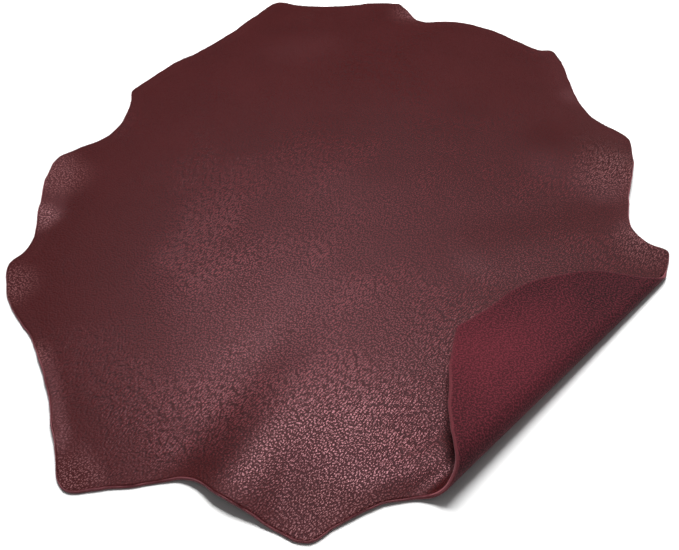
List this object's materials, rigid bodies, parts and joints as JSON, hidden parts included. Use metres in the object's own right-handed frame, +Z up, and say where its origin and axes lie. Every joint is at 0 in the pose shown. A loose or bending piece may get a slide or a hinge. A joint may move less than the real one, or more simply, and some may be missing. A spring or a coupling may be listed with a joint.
{
  "type": "leather hide",
  "caption": "Whole tanned leather hide lying grain side up, its rim running from point to point in hollow bays, with a front corner turned over to show the suede side.",
  "frame": {"origin": "middle of the laid hide's outline, at floor level", "axes": "+X across the skin, +Y along the skin away from the viewer, +Z up"},
  "size_m": [0.5023, 0.5957, 0.0264],
  "materials": {
    "leather": "satin grain side, matt suede side"
  },
  "bodies": {
    "root": {"hide": "leather"}
  },
  "joints": []
}
